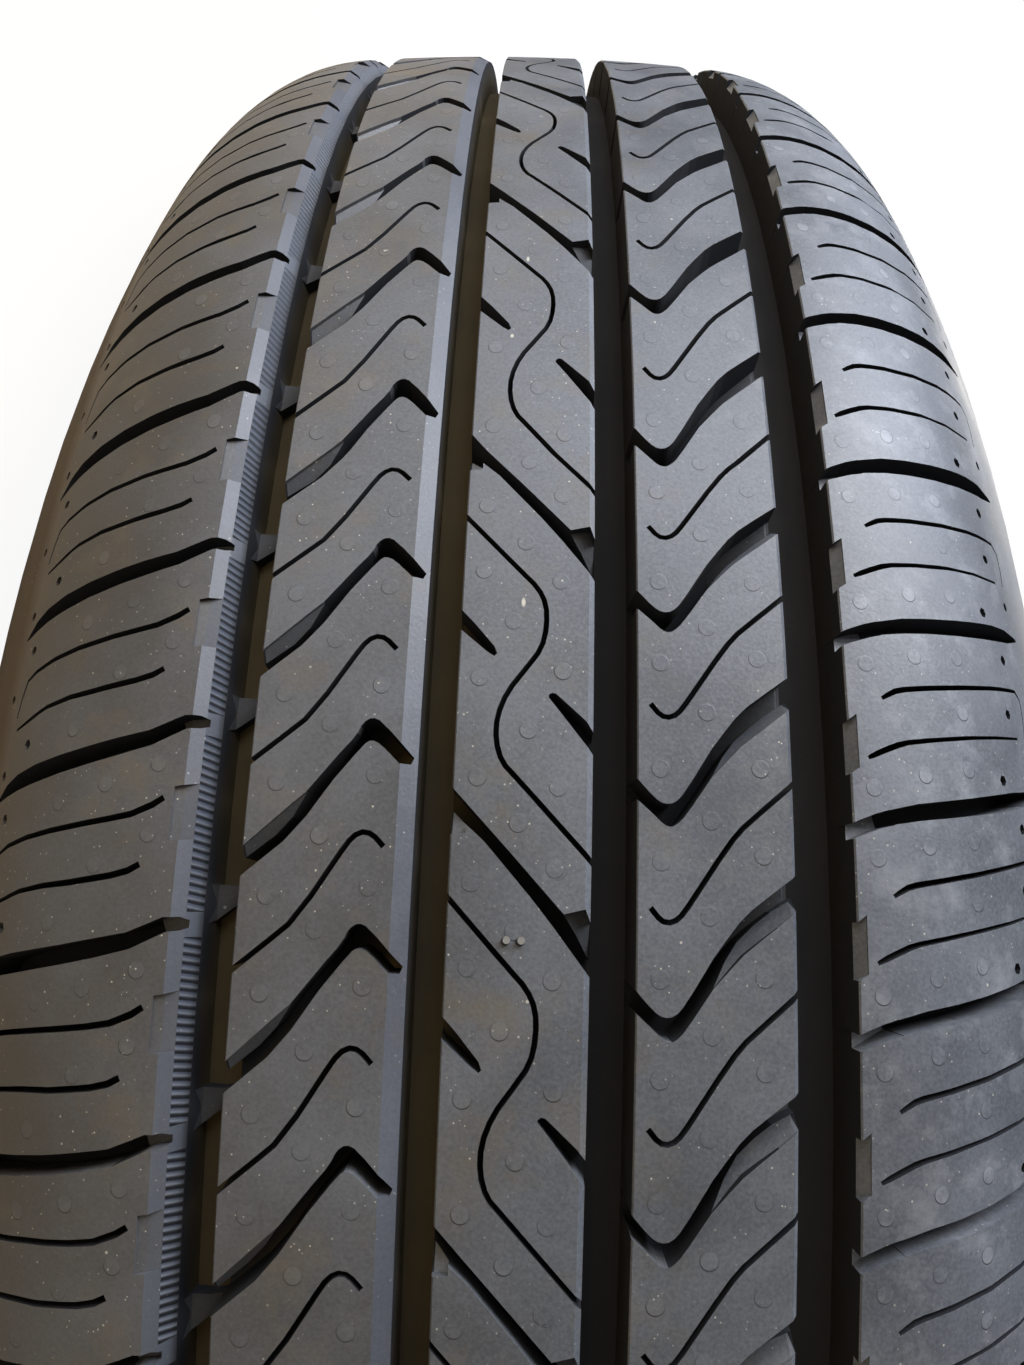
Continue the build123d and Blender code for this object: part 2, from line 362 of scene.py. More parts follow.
def cutDepth(cuts, corners, covers):
    # depth is the larger of the round grooves' section and the cuts' own planes.
    # shade, which the material paints, tells how far a corner is out of the light: its depth, or the cut's
    # own shade.
    # mark is the place from the middle of a vent's mark in its radii, far away where there is none
    depth = np.interp(corners[..., 0], grooveSection[:, 0], grooveSection[:, 1])
    shade = depth.copy()
    mark = np.full(corners.shape, noMark)
    for row, cover in enumerate(covers):
        for index, moved in cover:
            cut = cuts[index]
            place = corners[row] - np.array([0.0, moved])
            if cut["centre"] is not None:
                mark[row] = (place - cut["centre"]) / cut["radius"]
                continue
            level = place @ cut["slope"][:2] + cut["slope"][2]
            if (level.sum() < depth[row].sum()) == cut["fills"]:
                lit = cut["lit"]
                shade[row] = level if lit is None else place @ lit[:2] + lit[2]
            depth[row] = np.minimum(depth[row], level) if cut["fills"] else np.maximum(depth[row], level)
    mark[depth.max(1) > tread["markLimit"]] = noMark
    return np.round(depth, 3), shade, mark


# How dark the walls of the cuts are painted as shade, on the scale of depth in mm
wallLook = {
    "lightFrom": (0.72, 0.69),  # direction in the plan from which most light comes in the photo
    "lowStep": 0.75,  # mm, a lower step is as light as its edge
    "litFrom": 0.1,  # how squarely a wall must face the light to take some
    "litRange": 0.4,  # and how much more makes it fully lit
    "litShade": 0.8,  # shade of a lit wall for each mm of depth
    "overFloor": 0.2,  # how much darker than a lit floor the wall over it may be
    "noFloor": 9.0,  # more than any wall's shade
    "barredShade": 2.0,
    "barredDepth": 4.0,  # mm, the barred wall ends above it
    "steep": 4.0,  # depth over run of a round groove's wall
    "flat": 0.05,  # mm of depth within which a triangle counts as flat
}


def lightOnWall(run, height, foot, floorShade):
    # how dark a wall is painted as shade, from 0 to 1, and the shade of the lit floor that it stands over
    facing = np.dot([run[1], -run[0]], wallLook["lightFrom"]) / np.linalg.norm(run)
    if height < wallLook["lowStep"]:
        dark = 0
    elif abs(foot - tread["sipeDepth"]) < margin:
        dark = 1
    else:
        dark = 1 - np.clip((facing - wallLook["litFrom"]) / wallLook["litRange"], 0, 1)
    overLit = floorShade is not None and facing >= wallLook["litFrom"]
    return dark, floorShade if overLit else wallLook["noFloor"]


def closeSteps(planPoints, nodes, sides):
    # a wall wherever two triangles meet at different depths, zipped from the top of both ends downwards.
    # a node is a point of the plan at one depth in thousandths of a mm
    levels = {}
    for node, (point, _) in enumerate(nodes):
        levels.setdefault(int(point), []).append(node)  # already sorted by depth
    walls = []
    light = []
    for (a, b, aNext, bNext), (aNode, bNode, _) in sides.items():
        opposite = sides.get((b, a, bNext, aNext))
        if opposite is None or (opposite[1] == aNode and opposite[0] == bNode):
            continue
        bLow, aLow, floorShade = opposite
        top = nodes[[aNode, bNode], 1]
        foot = nodes[[aLow, bLow], 1]
        if top.sum() >= foot.sum():
            continue
        run = planPoints[b] + [0, pairLength * bNext] - planPoints[a] - [0, pairLength * aNext]
        ends = lightOnWall(run, (foot - top).max() / 1000, foot.max() / 1000, floorShade)
        down = [(n, aNext) for n in levels[int(a)] if aNode <= n <= aLow]
        up = [(n, bNext) for n in levels[int(b)] if bNode <= n <= bLow]
        ring = down + up[::-1]
        i = 0
        j = len(ring) - 1
        while j - i > 1:
            if i + 1 < len(down):
                walls.append((ring[i], ring[i + 1], ring[j]))
                i += 1
            if j - 1 >= len(down) and j - i > 1:
                walls.append((ring[i], ring[j - 1], ring[j]))
                j -= 1
        light += [ends] * (len(ring) - 2)
    walls = np.array(walls)
    return walls[..., 0], walls[..., 1], np.array(light)


def joinPairEnds(planPoints):
    # the far end of a pair is the start of the next one
    start = np.flatnonzero(np.abs(planPoints[:, 1]) < touch)
    end = np.flatnonzero(np.abs(planPoints[:, 1] - pairLength) < touch)
    gap = np.abs(planPoints[end][:, None, 0] - planPoints[start][None, :, 0])
    same = np.arange(len(planPoints))
    same[end] = start[gap.argmin(1)]
    nextPair = np.zeros(len(planPoints), int)
    nextPair[end] = 1
    return same, nextPair


def layPlan():
    # gives every triangle corner its depth and painted shade, joins the corners that agree, and closes each
    # step with a wall
    cuts, planPoints, triangles, covers = triangulatePlan()
    side = planPoints[triangles[:, 1]] - planPoints[triangles[:, 0]]
    other = planPoints[triangles[:, 2]] - planPoints[triangles[:, 0]]
    turned = side[:, 0] * other[:, 1] - side[:, 1] * other[:, 0] < 0
    triangles[turned] = triangles[turned][:, ::-1]
    corners = planPoints[triangles]
    depth, shade, mark = cutDepth(cuts, corners, covers)
    same, nextPair = joinPairEnds(planPoints)
    vertex = same[triangles]
    onNext = nextPair[triangles]
    keys = np.stack([vertex.ravel(), np.round(depth.ravel() * 1000).astype(int)], 1)
    nodes, nodeOf = np.unique(keys, axis=0, return_inverse=True)
    nodeOf = nodeOf.reshape(vertex.shape)
    nodeDepth = nodes[:, 1] / 1000

    lit = np.abs(shade - depth).max(1) > roundOff
    sides = {}
    for row in range(len(vertex)):
        for a in range(3):
            b = (a + 1) % 3
            edge = (vertex[row, a], vertex[row, b], onNext[row, a], onNext[row, b])
            floorShade = shade[row, [a, b]].mean() if lit[row] else None
            sides[edge] = (nodeOf[row, a], nodeOf[row, b], floorShade)
    walls, wallNext, light = closeSteps(planPoints, nodes, sides)

    # steep walls are painted dark as shade from their edge down, but low ones, the barred one, those that
    # face the light and those over a lit floor are painted lighter. the walls of the round grooves take up
    # dust towards their foot
    middle = corners[..., 0].mean(1)
    barStart, barEnd = tread["barredWall"]
    barred = (middle > barStart) & (middle < barEnd) & (depth.max(1) < wallLook["barredDepth"])
    steep = np.ptp(depth, axis=1) > wallLook["steep"] * np.ptp(corners[..., 0], axis=1)
    shade[steep] = np.maximum(depth[steep], tread["hookDepth"])
    shade[barred] = wallLook["barredShade"]
    dark, floorShade = light.T[:, :, None]
    wallShade = dark * tread["hookDepth"] + (1 - dark) * wallLook["litShade"] * nodeDepth[walls]
    wallShade = np.minimum(wallShade, floorShade + wallLook["overFloor"])
    flat = np.ptp(depth, axis=1) < wallLook["flat"]
    return dict(
        place=planPoints[nodes[:, 0]],
        depth=nodeDepth,
        tri=np.r_[nodeOf, walls],
        next=np.r_[onNext, wallNext],
        flat=np.r_[flat, np.zeros(len(walls), bool)],
        shade=np.r_[shade, wallShade],
        mark=np.r_[mark, np.full((len(walls), 3, 2), noMark)],
    )


def outerProfile(length):
    # length over the surface from the middle gives the place across, the radius and the surface's slope:
    # crown arc, shoulder arc and sidewall arc, each tangent to the last
    reach = np.abs(length)
    crown = section["crownRadius"]
    rounding = section["shoulderRadius"]
    startSlope = math.asin(section["shoulderStart"] / crown)
    endSlope = section["shoulderEnd"]
    crownEnd = crown * startSlope
    roundEnd = crownEnd + rounding * (endSlope - startSlope)
    roundMiddle = np.array([section["shoulderStart"] - rounding * math.sin(startSlope),
                            outerRadius - crown + (crown - rounding) * math.cos(startSlope)])
    outward = np.array([math.sin(endSlope), math.cos(endSlope)])
    end = roundMiddle + rounding * outward
    toLand = np.array([halfWidth - clearance, section["landRadius"]]) - end
    wall = -toLand.dot(toLand) / (2 * toLand.dot(outward))
    wallMiddle = end - wall * outward
    arc = 0 + (reach > crownEnd) + (reach > roundEnd)
    size = np.array([crown, rounding, wall])[arc]
    x, y = np.array([(0.0, outerRadius - crown), roundMiddle, wallMiddle])[arc].T
    start = np.array([0.0, crownEnd, roundEnd])[arc]
    slope = np.array([0.0, startSlope, endSlope])[arc] + (reach - start) / size
    side = np.sign(length)
    return (x + size * np.sin(slope)) * side, y + size * np.cos(slope), slope * side


def onTyre(radius, angle, rise):
    # points at a radius and angle round the wheel axis
    parts = np.broadcast_arrays(radius * np.cos(angle), radius * np.sin(angle), rise)
    return np.stack(parts, -1).reshape(-1, 3)


def bendPlan(plan):
    # the plan bent round the tyre for each pair of pitches: depth goes down the surface's normal, and along
    # turns against the angle. the rims are the nodes on the plan's upper and lower edge
    place = plan["place"]
    depth = plan["depth"]
    tri = plan["tri"]
    along = place[:, 1] / pitch  # in pitches from the pair's start
    kinds = np.array([tread["shortPitch"] if k == "S" else tread["longPitch"] for k in tread["pairOrder"]])
    kinds = kinds * (math.tau / (2 * kinds.sum()))  # pitches as angles that close the circle
    starts = np.r_[0, np.cumsum(2 * kinds)[:-1]]
    pairs = len(kinds)
    pairIndex = np.arange(pairs)[:, None, None]
    across, radius, slope = outerProfile(place[:, 0] * planScale)
    angle = -(starts[:, None] + along[None, :] * kinds[:, None])
    rims = []
    for side in (1, -1):
        rim = np.flatnonzero(np.abs(place[:, 0] - side * tread["edge"]) < touch)
        rims.append(rim[np.argsort(place[rim, 1])])
    mapAcross = np.broadcast_to(place[tri, 0] / mapUnit, (pairs,) + tri.shape)
    mapAlong = 2 * pairIndex + along[tri] + 2 * plan["next"]
    return dict(
        points=onTyre(radius - depth * np.cos(slope), angle, halfWidth + across - depth * np.sin(slope)),
        faces=(((pairIndex + plan["next"]) % pairs) * len(place) + tri).reshape(-1, 3),
        normals=onTyre(np.cos(slope), angle, np.sin(slope)),
        flat=np.tile(plan["flat"], pairs),
        map=np.stack([mapAcross, mapAlong], -1).reshape(-1, 2),
        mark=np.tile(plan["mark"].reshape(-1, 2), (pairs, 1)),
        shade=np.tile(plan["shade"].ravel(), pairs),
        rims=[(pairIndex[:, 0] * len(place) + rim[None, :]).ravel() for rim in rims],
        rimAngle=angle[:, rims[0]].ravel(),
    )


def sideProfile():
    # one side of the section from the plan's edge over sidewall and bead to the middle of the liner:
    # a line of corners, each rounded by corner cutting
    length = np.linspace(tread["edge"] * planScale, section["surfaceEnd"], 200)
    across = outerProfile(length)[0]
    last = length[np.flatnonzero(across < halfWidth - section["landRounding"])[-1]]
    across, radius, _ = outerProfile(np.linspace(length[0], last, section["sideLines"])[1:])
    upper = np.c_[radius, across]
    land = section["landRadius"]
    landHeight = halfWidth - clearance
    bead = section["beadRadius"]
    rim = section["rimReach"]
    inner = outerRadius - section["underTread"]
    turns = [
        upper[-1], (land - 1.0, landHeight), (land - section["landWidth"], landHeight),
        (land - 13, halfWidth - 4.5), (bead + 29, rim + 6.5), (bead + 27.6, rim + 6.2),
        (bead + 26.4, rim + 3.6), (bead + 17.5, rim), (bead + 6, rim), (bead + 0.02, rim - 6),
        (bead + 0.02, rim - 18), (bead + 4, rim - 19), (bead + 24, rim - 12.5), (land - 8, halfWidth - 7),
        (land + 18, halfWidth - 14.5), (inner - 12, 68.5), (inner, 40), (inner, 0),
    ]
    return np.r_[upper[:-1], roundedLine(turns, 1)]


def buildCasing(rims, rimAngle, firstPoint):
    # sidewalls, beads and liner: the section's line carried round on the tread's own angles, from the plan's
    # upper edge to its lower edge
    half = sideProfile()
    profile = np.r_[half, (half * [1, -1])[-2::-1]]
    rows = len(profile)
    columns = len(rimAngle)
    index = firstPoint + np.arange(rows * columns).reshape(rows, columns)
    index = np.r_[rims[0][None, :], index, rims[1][None, :]]
    a = index[:-1]
    b = index[1:]
    nextA = np.roll(a, -1, axis=1)
    nextB = np.roll(b, -1, axis=1)
    faces = np.stack([a, b, nextB, a, nextB, nextA], -1).reshape(-1, 3)

    # the map's across goes on over the casing: plus over the upper half, minus over the lower one
    step = np.linalg.norm(np.diff(half, axis=0, prepend=half[:1]), axis=1)
    edge = tread["edge"]
    run = edge + 1 + np.cumsum(step)
    run = np.r_[edge, run, run[-2::-1], edge] / mapUnit
    across = np.zeros(firstPoint + rows * columns)
    across[index.ravel()] = np.repeat(run, columns)
    sideOf = np.repeat(np.where(np.arange(rows + 1) <= rows // 2, 1, -1), columns * 2)
    mapAcross = (across[faces] * sideOf[:, None]).ravel()
    return dict(
        points=onTyre(profile[:, :1], rimAngle[None, :], halfWidth + profile[:, 1:]),
        faces=faces,
        map=np.stack([mapAcross, np.zeros(faces.size)], -1),
        mark=np.full((faces.size, 2), noMark),
        shade=np.zeros(faces.size),
    )


nibs = {
    "places": ((-0.4, 91.9), (1.5, 91.9)),  # across and along in mm
    "topRadius": 0.5,
    "footRadius": 0.62,
    "footShift": (-0.22, -0.26),  # the nibs lean
    "height": 0.6,
    "foot": 0.2,  # how far they reach under the surface
    "sides": 10,
    "topShade": -2.0,  # dusty
    # painted shade on the sides, which stands in for the nibs' shadow
    "sideShade": 3.2,
}


def buildNibs(firstPoint):
    # short studs that two vents of the mould have left on the middle rib: for each one a ring under the
    # surface, a ring at its top, and the middles of both
    sides = nibs["sides"]
    count = len(nibs["places"])
    around = np.linspace(0, 2 * np.pi, sides, endpoint=False)
    ring = np.c_[np.cos(around), np.sin(around)]
    shift = np.array([nibs["footShift"]])
    circle = np.concatenate([
        ring * nibs["footRadius"] + shift, ring * nibs["topRadius"], shift, np.zeros((1, 2))])
    ends = [-nibs["foot"], nibs["height"]]
    levels = np.r_[np.repeat(ends, sides), ends]
    place = (np.array(nibs["places"])[:, None, :] + circle[None]).reshape(-1, 2)
    across, radius, _ = outerProfile(place[:, 0] * planScale)
    i = np.arange(sides)
    j = (i + 1) % sides
    foot = np.full(sides, 2 * sides)
    faces = np.concatenate([
        np.c_[i, j, j + sides], np.c_[i, j + sides, i + sides],
        np.c_[foot, j, i], np.c_[foot + 1, i + sides, j + sides],
    ])
    faces = np.concatenate([faces + len(circle) * k for k in range(count)])
    shade = np.repeat([nibs["sideShade"], nibs["topShade"]], [9 * sides, 3 * sides])
    angle = -place[:, 1] / tread["planRadius"]
    return dict(
        points=onTyre(radius + np.tile(levels, count), angle, halfWidth + across),
        faces=faces + firstPoint,
        map=(place[faces] / [mapUnit, pitch]).reshape(-1, 2),
        mark=np.full((faces.size, 2), noMark),
        shade=np.tile(shade, count),
    )


def cornerNormals(points, faces, bent, casing):
    # the bent surface's normal on flat stretches, the facet's on walls, flanks and nibs, and on the casing
    # the mean of the facets at a point, so that it follows the profile's turn
    corner = points[faces]
    facet = np.cross(corner[:, 1] - corner[:, 0], corner[:, 2] - corner[:, 0])
    facet /= np.maximum(np.linalg.norm(facet, axis=1), noLength)[:, None]
    normals = np.repeat(facet[:, None, :], 3, axis=1)
    treadCount = len(bent["faces"])
    flat = bent["flat"]
    normals[:treadCount][flat] = bent["normals"][bent["faces"][flat]]
    onCasing = slice(treadCount, treadCount + len(casing["faces"]))
    turning = np.zeros_like(points)
    np.add.at(turning, casing["faces"].ravel(), np.repeat(facet[onCasing], 3, axis=0))
    turning /= np.maximum(np.linalg.norm(turning, axis=1), noLength)[:, None]
    rimNodes = np.concatenate(bent["rims"])
    turning[rimNodes] = bent["normals"][rimNodes]
    normals[onCasing] = turning[casing["faces"]]
    return normals.reshape(-1, 3)


def buildTyre():
    plan = layPlan()
    bent = bendPlan(plan)
    casing = buildCasing(bent["rims"], bent["rimAngle"], len(bent["points"]))
    studs = buildNibs(len(bent["points"]) + len(casing["points"]))
    points, faces, treadMap, markMap, shade = [
        np.concatenate([part[name] for part in (bent, casing, studs)])
        for name in ("points", "faces", "map", "mark", "shade")
    ]
    normals = cornerNormals(points, faces, bent, casing)
    mesh = bpy.data.meshes.new("tyreBody")
    mesh.vertices.add(len(points))
    mesh.vertices.foreach_set("co", (points * mm).astype(np.float32).ravel())
    mesh.loops.add(faces.size)
    mesh.loops.foreach_set("vertex_index", faces.astype(np.int32).ravel())
    mesh.polygons.add(len(faces))
    mesh.polygons.foreach_set("loop_start", np.arange(0, faces.size, 3, dtype=np.int32))
    mesh.update(calc_edges=True)
    for name, values in (("treadMap", treadMap), ("markMap", markMap)):
        mesh.uv_layers.new(name=name).data.foreach_set("uv", values.astype(np.float32).ravel())
    mesh.attributes.new("grooveShade", "FLOAT", "CORNER").data.foreach_set("value", shade.astype(np.float32))
    mesh.polygons.foreach_set("use_smooth", np.ones(len(faces), bool))
    mesh.normals_split_custom_set(normals.astype(np.float32))
    body = bpy.data.objects.new("tyreBody", mesh)
    bpy.context.collection.objects.link(body)
    print("tyre body:", len(faces), "triangles,", len(plan["tri"]), "in each pair of pitches")
    return body


def linear(hexColour):
    # sRGB hex to linear light
    parts = [int(hexColour[i : i + 2], 16) / 255 for i in (1, 3, 5)]
    return tuple(c / 12.92 if c <= 0.04045 else ((c + 0.055) / 1.055) ** 2.4 for c in parts) + (1.0,)


def newMaterial(name):
    material = bpy.data.materials.new(name)
    material.use_nodes = True
    material.node_tree.nodes.clear()
    return material, material.node_tree


def addNode(tree, kind, inputs=(), output=0, **settings):
    # one node with its settings and links. inputs go by place or by name, each a value or another node's
    # output, and the output that is asked for comes back
    node = tree.nodes.new("ShaderNode" + kind)
    for name, value in settings.items():
        setattr(node, name, value)
    for key, value in inputs.items() if isinstance(inputs, dict) else enumerate(inputs):
        if isinstance(value, bpy.types.NodeSocket):
            tree.links.new(value, node.inputs[key])
        else:
            node.inputs[key].default_value = value
    return node.outputs[output] if node.outputs else None


def shareOf(tree, *factors):
    # a product of factors. each is a share, or a straight rise: a value, where its rise starts and ends, and
    # the shares there if they aren't 0 and 1
    product = None
    for factor in factors:
        if isinstance(factor, tuple):
            factor = addNode(tree, "MapRange", factor)
        if product is not None:
            factor = addNode(tree, "Math", (product, factor), operation="MULTIPLY")
        product = factor
    return product


rubber = {
    "dark": "#45484c",
    "light": "#616469",
    "stain": "#62563f",
    "dustFilmShade": "#3e372c",  # brown dust on the lower half, made darker as painted shade of the side away from the light
    "sidewall": "#2b2d30",
    "soil": "#483615",  # earth on the lower sidewall
    "bloom": "#85888c",  # pale wax that comes out of the rubber
    "dust": "#b9b3a4",
    "hookDustLit": "#8f7d55",  # dust that has settled in the ends of the hooks, painted lighter as light on their floors
    "crumb": "#c9c3b0",
    "chamfer": "#494e59",  # bluish where it takes light from above
    # painted shade: the dark colour of grooves, cut walls, a mark's rim and the barred wall's foot
    "groove": "#202123",
    "grooveDust": "#51462d",
    # painted light: the barred wall's bluish tint where it faces the light from above
    "barWallPaintedLight": "#4c525d",
    # painted shade in the troughs between the fine bars
    "barTroughShade": "#222936",
    "grooveShineShade": (0.25, 0.22, 0.18, 1),  # tint that darkens the shine in the grooves as painted shade, linear
    "roughness": 0.5,
    "soilRoughness": 0.85,
    "clouds": {  # patch size in mm, detail and roughness of each noise
        "cloud": (26.0, 4.0, 0.6),  # soft patches of shade
        "grain": (0.5, 3.0, 0.6),  # moulded grain, drawn coarser than the real one so that it shows
        "bloomCloud": (7.0, 5.0, 0.7),
        "stainCloud": (14.0, 5.0, 0.7),
        "drift": (11.0, 3.0, 0.6),  # drifts of fine dust
    },
    "fineSpecks": (0.9, 0.25, 0.17, 0.9),  # mm between them, lowest number with one, size, strength
    "largeSpecks": (2.6, 0.83, 0.1, 0.8),
    "speckEdge": 0.03,  # softness of a speck's edge, in cells
    "crumbs": ((0.4, 5.082, 0.35, 0.85), (-2.8, 6.742, 0.35, 0.45),
               (-0.7, 7.346, 0.3, 0.7)),  # mm across, pitches along, half width and half length in mm
    "rimShadowSide": (-0.3, -0.95, 0.0),  # side of a mark on which its painted shadow falls, across and along
    "chamferPlaces": ((-43.57, 0.83), (-14.25, 1.15)),  # middle and half width in mm across
    "barPlace": (-41.98, 0.77),
    "barCount": 24.0,  # fine bars on each pitch
    "barSlant": 1.2,  # pitches along for each 100 mm across
    "slotShift": 0.1,  # pitches, centres a count on the shoulder grooves
    "slotReach": 0.06,
}


def specks(tree, place, spacing, chosen, size, strength):
    # round specks, one in each cell whose own number is above the chosen one, larger where it is higher
    distance = addNode(tree, "TexVoronoi", {"Vector": place, "Scale": 1 / (spacing * mm)}, "Distance")
    number = addNode(tree, "SeparateColor", (distance.node.outputs["Color"],), "Red")
    reach = shareOf(tree, (number, chosen, 1.0, 0.0, size))
    inside = addNode(tree, "Math", (reach, distance), operation="SUBTRACT")
    return shareOf(tree, (inside, 0.0, rubber["speckEdge"], 0.0, strength))


def rubberInputs(tree):
    # what the layers go by: the place in space, the place on the tread in 100 mm across and pitches along,
    # the depth out of the light, the place from a vent's mark, and clouds of noise
    at = {"place": addNode(tree, "TexCoord", output="Object")}
    at["plan"] = addNode(tree, "UVMap", output="UV", uv_map="treadMap")
    at["across"] = addNode(tree, "SeparateXYZ", (at["plan"],), "X")
    at["along"] = at["across"].node.outputs["Y"]
    at["deep"] = addNode(tree, "Attribute", output="Fac", attribute_name="grooveShade")
    at["fromMark"] = addNode(tree, "UVMap", output="UV", uv_map="markMap")
    at["away"] = addNode(tree, "VectorMath", (at["fromMark"],), "Value", operation="LENGTH")
    for name, (size, detail, roughness) in rubber["clouds"].items():
        noise = {"Vector": at["place"], "Scale": 1 / (size * mm), "Detail": detail, "Roughness": roughness}
        at[name] = addNode(tree, "TexNoise", noise, "Fac")
    return at


def groundLayers(tree, at):
    # grey clouds and a fine grain, a brown film of dust and painted shade towards the lower side, bloom on
    # the upper one, stains, clean sidewalls, earth on the lower one, and dust: fine specks in drifts and a
    # few larger ones
    across = at["across"]
    grain = shareOf(tree, (at["grain"], 0.25, 0.75, -0.5, 0.5))
    grey = addNode(tree, "Math", (shareOf(tree, (at["cloud"], 0.3, 0.7)), grain), operation="ADD")
    fromMiddle = addNode(tree, "Math", (across,), operation="ABSOLUTE")
    at["soil"] = shareOf(tree, (across, -0.71, -0.87), (across, -1.9, -1.5))
    fine = specks(tree, at["place"], *rubber["fineSpecks"])
    bloomStart = (across, 0.2, 0.6)
    bloomEnd = (across, 0.95, 0.8, 0.1, 1.0)
    return [
        (grey, "light"),
        (shareOf(tree, (across, 0.1, -0.7), (at["cloud"], 0.25, 0.65, 0.95, 0.6)), "dustFilmShade"),
        (shareOf(tree, (at["bloomCloud"], 0.5, 0.75, 0.0, 0.7), bloomStart, bloomEnd), "bloom"),
        (shareOf(tree, (at["stainCloud"], 0.52, 0.76, 0.0, 0.55), (across, 0.45, 0.1, 0.15, 1.0)), "stain"),
        (shareOf(tree, (fromMiddle, 0.9, 1.15, 0.0, 0.6)), "sidewall"),
        (at["soil"], "soil"),
        (shareOf(tree, fine, (at["drift"], 0.38, 0.6, 0.2, 1.0)), "dust"),
        (specks(tree, at["place"], *rubber["largeSpecks"]), "dust"),
    ]


def markLayers(tree, at):
    # vent marks: low discs with a rim of painted shade, darker on one side as painted shadow,
    # and paler discs on the upper shoulder
    away = at["away"]
    cloud = at["bloomCloud"]
    lean = addNode(tree, "VectorMath", (at["fromMark"], rubber["rimShadowSide"]), "Value",
                   operation="DOT_PRODUCT")
    rimShade = shareOf(tree, (away, 0.8, 0.88, 0.0, 0.95), (away, 1.0, 0.94), (lean, -0.5, 0.8, 0.3, 1.0),
                   (cloud, 0.35, 0.6, 0.25, 1.0))
    disc = shareOf(tree, (away, 0.88, 0.82), (at["across"], 0.36, 0.46, 0.14, 0.5), (cloud, 0.42, 0.66))
    return [(rimShade, "groove"), (disc, "bloom")]


def crumbLayers(tree, at):
    # pale crumbs on the middle rib, ellipses with an edge that the grain roughens, and the nibs' dusty tops
    layers = []
    for middle, along, wide, tall in rubber["crumbs"]:
        centre = (middle / mapUnit, along, 0.0)
        scale = (mapUnit / wide, pitch / tall, 0.0)
        offset = addNode(tree, "VectorMath", (at["plan"], centre), operation="SUBTRACT")
        scaled = addNode(tree, "VectorMath", (offset, scale), operation="MULTIPLY")
        reach = addNode(tree, "VectorMath", (scaled, scaled), "Value", operation="DOT_PRODUCT")
        rough = addNode(tree, "Math", (at["grain"], 0.8, reach), operation="MULTIPLY_ADD")
        layers.append((shareOf(tree, (rough, 1.3, 0.6, 0.0, 0.8)), "crumb"))
    return layers + [(shareOf(tree, (at["deep"], -0.5, -1.5, 0.0, 0.3)), "dust")]


def grooveLayers(tree, at):
    # grooves are painted dark as shade, with brown dust on the deepest floors and dust painted lighter as
    # light in the ends of the hooks. the two chamfers are painted bluish with the light they take from above
    deep = at["deep"]
    across = at["across"]
    # painted shade: the share of the dark groove colour, by how far a place is out of the light
    at["hidden"] = shareOf(tree, (deep, 1.9, 3.8))
    lowerHalf = (across, 0.12, -0.02, 0.15, 1.0)
    dusty = shareOf(tree, (deep, 7.25, 8.2), (at["cloud"], 0.3, 0.7, 0.6, 1.0), lowerHalf)
    layers = [(at["hidden"], "groove"), (dusty, "grooveDust"), (shareOf(tree, (deep, 8.7, 9.6)), "hookDustLit")]
    for middle, reach in rubber["chamferPlaces"]:
        onChamfer = addNode(tree, "Math", (across, middle / mapUnit, reach / mapUnit), operation="COMPARE")
        layers.append((shareOf(tree, onChamfer, (deep, 2.4, 1.6, 0.0, 0.45)), "chamfer"))
    return layers


def barLayers(tree, at):
    # fine bars on the sloping wall beside the lower shoulder, a sine wave left out at the shoulder grooves.
    # the wall is painted bluish as light from above, and its troughs and its foot dark as painted shade
    across = at["across"]
    middle, reach = rubber["barPlace"]
    slanted = addNode(tree, "Math", (across, rubber["barSlant"], at["along"]), operation="MULTIPLY_ADD")
    turns = shareOf(tree, slanted, math.tau * rubber["barCount"])
    wave = addNode(tree, "Math", (turns,), operation="SINE")
    onWall = addNode(tree, "Math", (across, middle / mapUnit, reach / mapUnit), operation="COMPARE")
    count = addNode(tree, "Math", (at["along"], rubber["slotShift"]), operation="ADD")
    count = addNode(tree, "Math", (count,), operation="FRACT")
    atSlot = addNode(tree, "Math", (count, 0.5, rubber["slotReach"]), operation="COMPARE")
    offSlot = addNode(tree, "Math", (1.0, atSlot), operation="SUBTRACT")
    at["hatch"] = shareOf(tree, wave, onWall, offSlot)
    return [
        (shareOf(tree, onWall, 0.6), "barWallPaintedLight"),
        (shareOf(tree, (at["hatch"], 0.15, -0.55, 0.0, 0.75)), "barTroughShade"),
        (shareOf(tree, onWall, (across, -0.4175, -0.412, 0.0, 0.8)), "groove"),  # painted shade at the wall's foot
    ]


